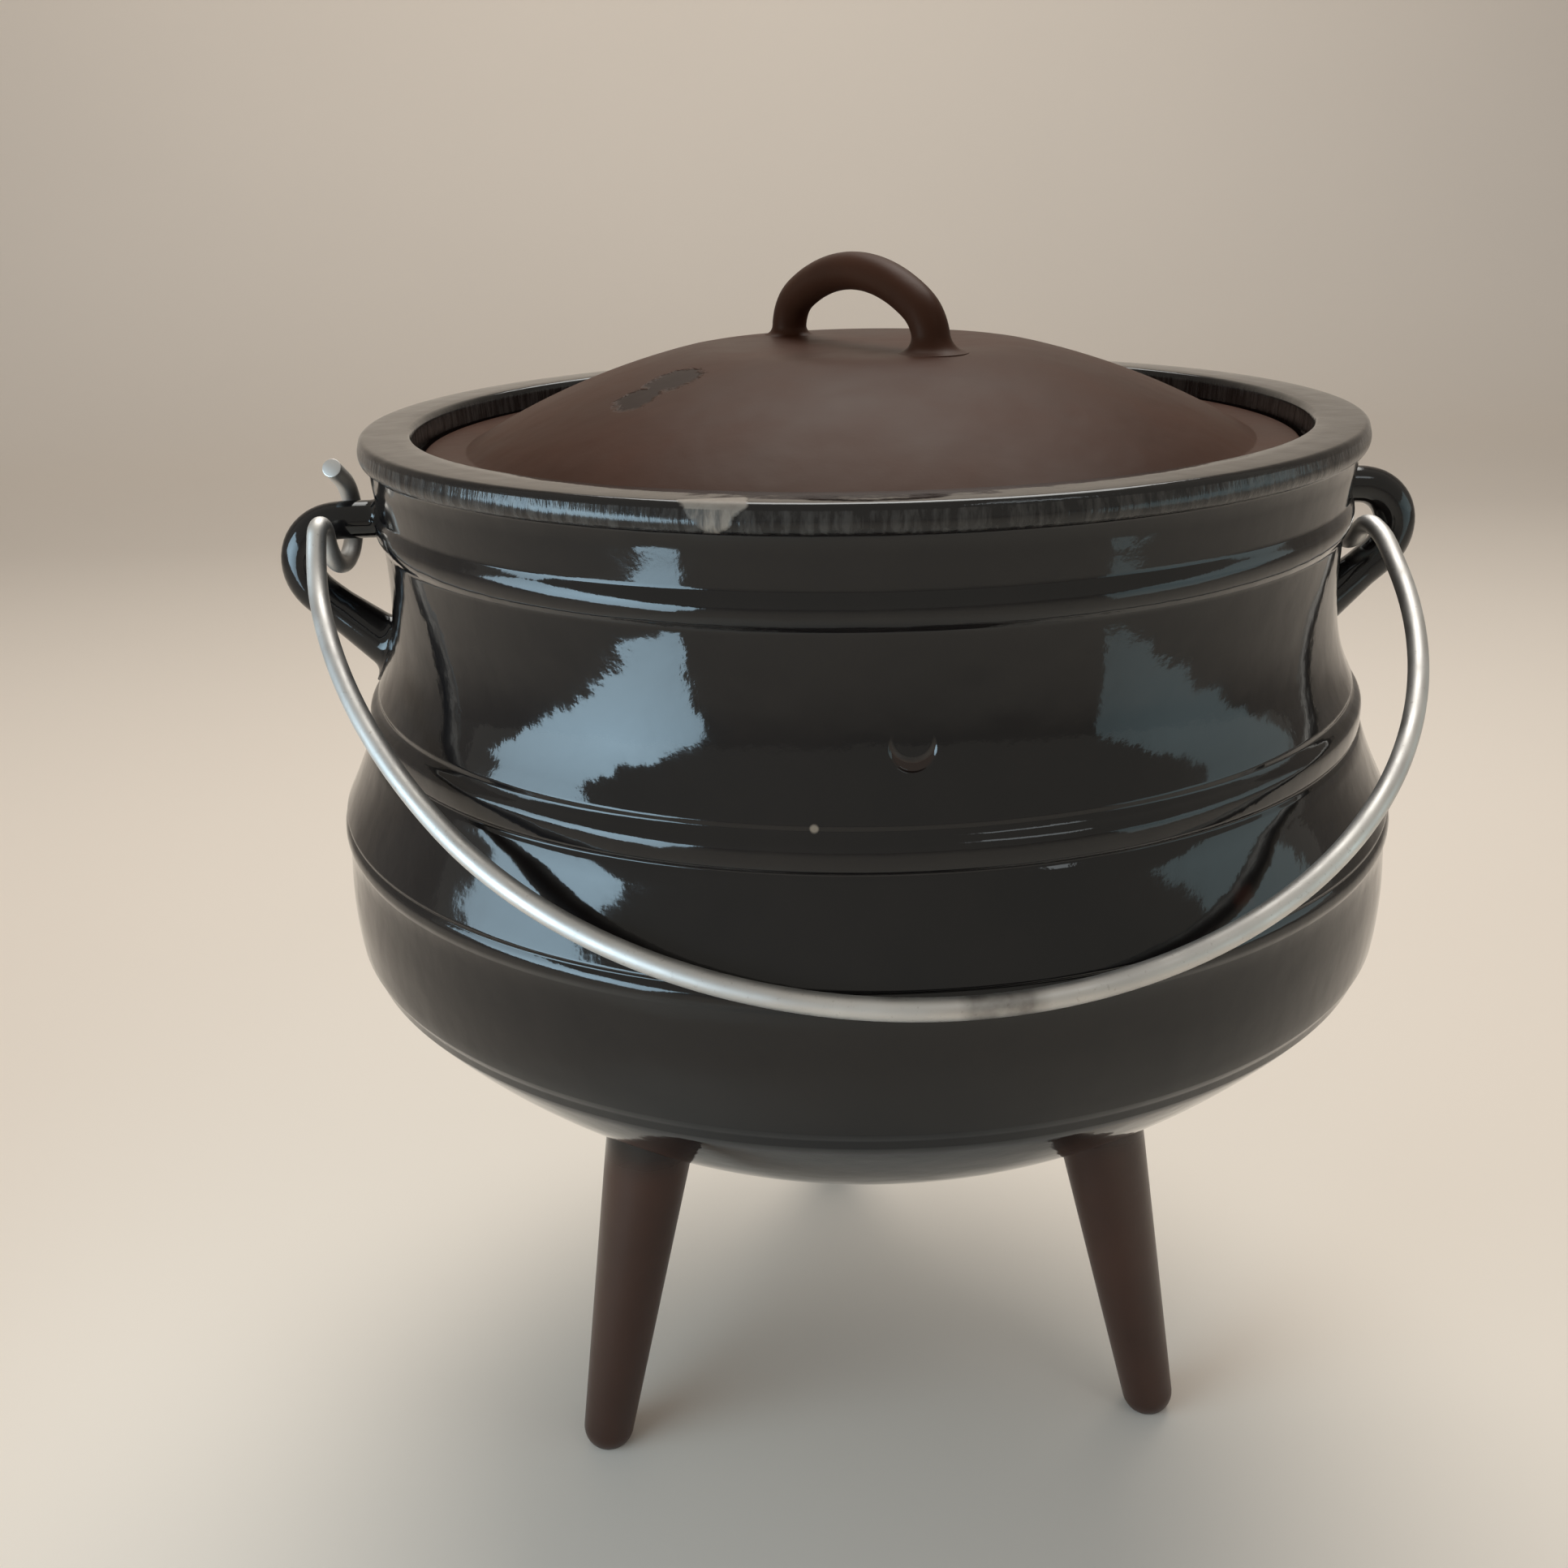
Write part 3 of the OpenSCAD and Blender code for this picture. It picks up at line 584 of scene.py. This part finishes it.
# colours: the two ends that a patchy noise mixes
BLACK = (0.0060, 0.0052, 0.0055, 1), (0.0100, 0.0080, 0.0075, 1)
BROWN = (0.041, 0.0155, 0.0085, 1), (0.056, 0.0205, 0.0110, 1)
PRIMER = (0.17, 0.135, 0.105, 1), (0.30, 0.26, 0.21, 1)
STEEL = (0.56, 0.555, 0.54, 1), (0.72, 0.715, 0.69, 1)
PIT, SCAR_TONE, SPECK_TONE, RUST_TONE = ((0.009, 0.0055, 0.0045, 1), (0.030, 0.014, 0.009, 1),
                                         (0.30, 0.24, 0.18, 1), (0.05, 0.020, 0.014, 1))
FACE_TONE, STEEL_SPECK, SMUDGE_TONE = (0.050, 0.046, 0.042, 1), (0.25, 0.22, 0.19, 1), (0.16, 0.15, 0.14, 1)
# the lid's tint paints a warm orange-brown reflection into its sheen, standing in for warm surroundings that
# the pale stage lacks; the pot's is a faint cool tint
LID_PAINTED_WARM_REFLECTION, POT_SHEEN = (1.0, 0.78, 0.62, 1.0), (0.92, 0.98, 1.0, 1.0)

# marks: place on the pot and size in metres
BLEMISH = (on_pot(-55.5, -38.5, 9.3), 0.0058), (on_pot(-47.0, -32.5, 12.6), 0.0066)
SCAR, SCAR_CUT = (on_pot(-2.2, -122.9, -50.0), 0.0046), (on_pot(-2.2, -122.9, -47.6), 0.0046)
SPECK = on_pot(-22.4, -125.9, -65.0), 0.0009
RUST = on_pot(70.0, -116.8, -89.0), 0.0042

# the stretch of x, y or z, in metres, over which a mark comes in
LEG_FADE = 0.086, 0.101                    # the legs' brown goes out from here up
FACE_FOOT, FACE_TOP = (0.2806, 0.2815), (0.2868, 0.2860)
# the chip: its half width at foot and top of the rim's face, its ragged edge, and where it ends
CHIP_X, CHIP_SPAN, CHIP_HALF = on_pot(-40.2, 0, 0)[0], (0.2818, 0.2876), (0.0016, 0.0070)
CHIP_RAG, CHIP_EDGE, CHIP_FOOT, CHIP_BACK = 0.004, (-0.0003, 0.0006), (0.2812, 0.2818), (-0.1120, -0.1130)
# the smudge on the wire
SMUDGE_LEFT, SMUDGE_RIGHT, SMUDGE_BACK = (0.004, 0.007), (0.023, 0.019), (-0.125, -0.130)

# sizes of the noises, in waves a metre
WAVE, PEEL, GRAIN, PATCH = 105.0, 330.0, 1500.0, 28.0


def lacquered_iron(name, lid_part):
    """Cast iron under lacquer: glossy black on the pot's body, satin brown-black on the legs and the lid."""
    m = Nodes(name)
    x, y, z = m.axes()
    wave = m.noise(WAVE, 1.0, 0.4)
    peel = m.noise(PEEL, 2.0, 0.5)
    grain = m.noise(GRAIN, 2.0, 0.6)
    patch = m.noise(PATCH, 3.0, 0.6)
    black = m.mix(m.fit(patch, 0.35, 0.7), *BLACK)
    brown = m.mix(m.fit(patch, 0.35, 0.7), *BROWN)
    if lid_part:
        colour = brown
        rough = m.fit(patch, 0.3, 0.7, 0.42, 0.52)
        # pitted blemish on the left of the dome
        a = m.math("MINIMUM", *[m.spot(*place) for place in BLEMISH])
        pits = m.math("ADD", a, m.math("MULTIPLY", m.noise(230.0, 3.0, 0.65), 1.1))
        pits = m.fit(pits, 1.72, 1.38, smooth=True)
        colour = m.mix(m.math("MULTIPLY", pits, 0.8), colour, PIT)
        skin = (wave, 0.00022), (peel, 0.00003), (grain, 0.000012), (pits, -0.0004)
        m.set(Specular_IOR_Level=0.10)
    else:
        legs = m.fit(z, *LEG_FADE, 1.0, 0.0, smooth=True)
        colour = m.mix(legs, black, brown)
        rough = m.fit(patch, 0.3, 0.7, 0.04, 0.10)
        rough = m.math("ADD", rough, m.math("MULTIPLY", legs, 0.30))
        # pale chip on the front of the rim
        rag = m.math("MULTIPLY", m.math("SUBTRACT", m.noise(260.0, 3.0, 0.6), 0.5), CHIP_RAG)
        dx = m.math("ABSOLUTE", m.math("SUBTRACT", m.math("ADD", x, rag), CHIP_X))
        width = m.fit(z, *CHIP_SPAN, *CHIP_HALF)
        chip = m.fit(m.math("SUBTRACT", width, dx), *CHIP_EDGE)
        chip = m.math("MULTIPLY", chip, m.math("MULTIPLY", m.fit(z, *CHIP_FOOT), m.fit(y, *CHIP_BACK)))
        colour = m.mix(chip, colour, m.mix(m.noise(500.0, 3.0), *PRIMER))
        rough = m.math("ADD", rough, m.math("MULTIPLY", chip, 0.5))
        # crescent scar in the neck: one round less another above it
        scar = m.math("MULTIPLY", m.fit(m.spot(*SCAR), 1.1, 0.9, smooth=True),
                      m.fit(m.spot(*SCAR_CUT), 0.85, 1.15, smooth=True))
        colour = m.mix(m.math("MULTIPLY", scar, 0.6), colour, SCAR_TONE)
        # speck on the shoulder and faint rust smudge on the flare
        speck = m.fit(m.spot(*SPECK), 1.2, 0.7)
        colour = m.mix(m.math("MULTIPLY", speck, 0.8), colour, SPECK_TONE)
        rust = m.math("ADD", m.spot(*RUST), m.math("MULTIPLY", m.noise(400.0, 3.0), 1.6))
        rust = m.fit(rust, 1.8, 1.0)
        colour = m.mix(m.math("MULTIPLY", rust, 0.5), colour, RUST_TONE)
        # upright casting marks on the face of the rim
        stretch = m.add("ShaderNodeVectorMath", operation="MULTIPLY")
        m.feed(stretch.inputs[0], m.place)
        stretch.inputs[1].default_value = (1.0, 1.0, 0.12)
        face = m.math("MULTIPLY", m.fit(z, *FACE_FOOT), m.fit(z, *FACE_TOP))
        marks = m.math("MULTIPLY", m.noise(520.0, 3.0, 0.65, where=stretch.outputs[0]), face)
        colour = m.mix(m.fit(marks, 0.42, 0.62, 0.0, 0.8), colour, FACE_TONE)
        rough = m.math("ADD", rough, m.math("MULTIPLY", face, 0.12))
        skin = (wave, 0.00017), (peel, 0.000035), (grain, 0.000006), (marks, 0.00022), (scar, -0.0006)
    n = None
    for height, depth in skin:
        n = m.bump(height, depth, normal=n)
    m.set(Base_Color=colour, Roughness=rough, Normal=n, IOR=1.5)
    # on the lid the tint is a painted warm reflection of orange surroundings
    m.set(Specular_Tint=LID_PAINTED_WARM_REFLECTION if lid_part else POT_SHEEN)
    return m.mat


def drawn_steel(name):
    """Matte drawn wire with a grey smudge near the middle of the bow."""
    m = Nodes(name)
    patch = m.noise(24.0, 3.0, 0.6)
    fine_grain = m.noise(900.0, 3.0, 0.6)
    colour = m.mix(m.fit(patch, 0.35, 0.7), *STEEL)
    colour = m.mix(m.fit(fine_grain, 0.62, 0.8, 0.0, 0.5), colour, STEEL_SPECK)
    x, y, _ = m.axes()
    smudge = m.math("MULTIPLY", m.fit(x, *SMUDGE_LEFT), m.fit(x, *SMUDGE_RIGHT))
    smudge = m.math("MULTIPLY", smudge, m.math("MULTIPLY", m.fit(y, *SMUDGE_BACK), m.noise(260.0, 3.0)))
    colour = m.mix(smudge, colour, SMUDGE_TONE)
    rough = m.fit(m.noise(120.0, 3.0), 0.3, 0.7, 0.46, 0.60)
    m.set(Base_Color=colour, Metallic=1.0, Roughness=rough, Normal=m.bump(fine_grain, 0.00002))
    return m.mat


def plain_stage(name, colour):
    """Matte paint with the faintest unevenness."""
    m = Nodes(name)
    tone = m.mix(m.noise(3.0, 2.0), colour, tuple(c * 0.97 for c in colour[:3]) + (1,))
    m.set(Base_Color=tone, Roughness=0.85)
    return m.mat


pot.data.materials.append(lacquered_iron("black_lacquer_pot", False))
lid.data.materials.append(lacquered_iron("black_lacquer_lid", True))
bail.data.materials.append(drawn_steel("drawn_wire"))

# ---------------------------------------------------------------- floor, light and camera
PALE = (0.80, 0.72, 0.62, 1)
ROOM, ROOM_STRENGTH, BEYOND = (0.66, 0.66, 0.68, 1), 0.55, (0.42, 0.38, 0.33, 1)
PANEL_AIM = 0.24        # height in metres that the panels face


def sweep_stage(name, depth, wide, tall, bend):
    """A floor that turns up into a wall behind the object."""
    line = [(-wide, 0.0)] + [(depth - bend + bend * math.sin(t), bend - bend * math.cos(t))
                             for t in np.linspace(0, math.pi / 2, 24)] + [(depth, tall)]
    bm = bmesh.new()
    rows = [[bm.verts.new((s * wide, y, z)) for s in (-1, 1)] for y, z in line]
    for a, b in zip(rows, rows[1:]):
        bm.faces.new((a[0], a[1], b[1], b[0])).smooth = True
    me = bpy.data.meshes.new(name)
    bm.to_mesh(me)
    bm.free()
    ob = bpy.data.objects.new(name, me)
    bpy.context.scene.collection.objects.link(ob)
    me.materials.append(plain_stage(name + "_paint", PALE))


sweep_stage("floor", 2.6, 12.0, 6.0, 0.9)


def panel(name, azimuth, elevation, distance, width, height, radiance, colour, spread=180):
    """A soft panel that faces the pot. Azimuth 0 is the front, 90 the right; lengths are in metres."""
    a, e = math.radians(azimuth), math.radians(elevation)
    way = Vector((math.sin(a) * math.cos(e), -math.cos(a) * math.cos(e), math.sin(e)))
    light = bpy.data.lights.new(name, "AREA")
    light.shape = "RECTANGLE"
    light.size, light.size_y = width, height
    light.color = colour
    light.energy = radiance * math.pi * width * height
    light.spread = math.radians(spread)
    ob = bpy.data.objects.new(name, light)
    ob.location = way * distance + Vector((0, 0, PANEL_AIM))
    ob.visible_camera = False
    ob.rotation_euler = (-way).to_track_quat("-Z", "Z").to_euler()
    bpy.context.scene.collection.objects.link(ob)
    return ob


panel("window_light", -61, 1, 0.50, 0.17, 0.46, 3.0, (0.62, 0.84, 1.0), spread=110)
panel("second_pane", 66, 1, 0.50, 0.15, 0.46, 0.40, (0.55, 0.78, 0.84), spread=110)
panel("back_top_light", 168, 60, 2.2, 1.8, 1.4, 1.25, (1.0, 0.97, 0.93), spread=80)
panel("front_right_light", 38, 46, 1.7, 0.55, 0.30, 2.2, (0.94, 0.97, 1.0))
wall = panel("wall_light", 180, 40, 1.9, 2.4, 0.8, 1.9, (1.0, 0.98, 0.95))
wall.rotation_euler = Vector((0, 1, -0.15)).to_track_quat("-Z", "Z").to_euler()

# the room: a plain grey to light the pot, and the stage's own tone past its edges, seen straight or mirrored
world = bpy.data.worlds.new("room")
bpy.context.scene.world = world
world.use_nodes = True
tree = world.node_tree
room = tree.nodes["Background"]
room.inputs["Color"].default_value = ROOM
room.inputs["Strength"].default_value = ROOM_STRENGTH
beyond = tree.nodes.new("ShaderNodeBackground")
beyond.inputs["Color"].default_value = BEYOND
choice = tree.nodes.new("ShaderNodeMixShader")
ray = tree.nodes.new("ShaderNodeLightPath")
seen = tree.nodes.new("ShaderNodeMath")
seen.operation = "ADD"
seen.use_clamp = True
tree.links.new(ray.outputs["Is Camera Ray"], seen.inputs[0])
tree.links.new(ray.outputs["Is Glossy Ray"], seen.inputs[1])
tree.links.new(seen.outputs[0], choice.inputs[0])
tree.links.new(room.outputs[0], choice.inputs[1])
tree.links.new(beyond.outputs[0], choice.inputs[2])
tree.links.new(choice.outputs[0], tree.nodes["World Output"].inputs["Surface"])

# the camera, solved from the photo: its place about the pot's axis, its heading, tilt and roll
CAM_PLACE, CAM_LENS = (-0.0447, -0.4255, 0.3464), 37.27
AIM, PITCH, ROLL = math.radians(3.15), math.radians(20.8), math.radians(1.43)
cam_data = bpy.data.cameras.new("camera")
cam_data.sensor_fit = "HORIZONTAL"
cam_data.sensor_width = 36.0
cam_data.lens = CAM_LENS
cam_data.clip_start = 0.01
cam_data.clip_end = 50.0
cam = bpy.data.objects.new("camera", cam_data)
bpy.context.scene.collection.objects.link(cam)
ahead = Vector((math.sin(AIM) * math.cos(PITCH), math.cos(AIM) * math.cos(PITCH), -math.sin(PITCH)))
across = Vector((math.cos(AIM), -math.sin(AIM), 0))
above = Vector((math.sin(AIM) * math.sin(PITCH), math.cos(AIM) * math.sin(PITCH), math.cos(PITCH)))
cam_x = across * math.cos(ROLL) - above * math.sin(ROLL)
cam_y = above * math.cos(ROLL) + across * math.sin(ROLL)
turned = Matrix((cam_x, cam_y, -ahead)).transposed().to_4x4()
cam.matrix_world = Matrix.Translation((CAM_PLACE[0], CAM_PLACE[1] + hinge[1], CAM_PLACE[2])) @ turned
bpy.context.scene.camera = cam
bpy.context.scene.view_settings.view_transform = "Standard"
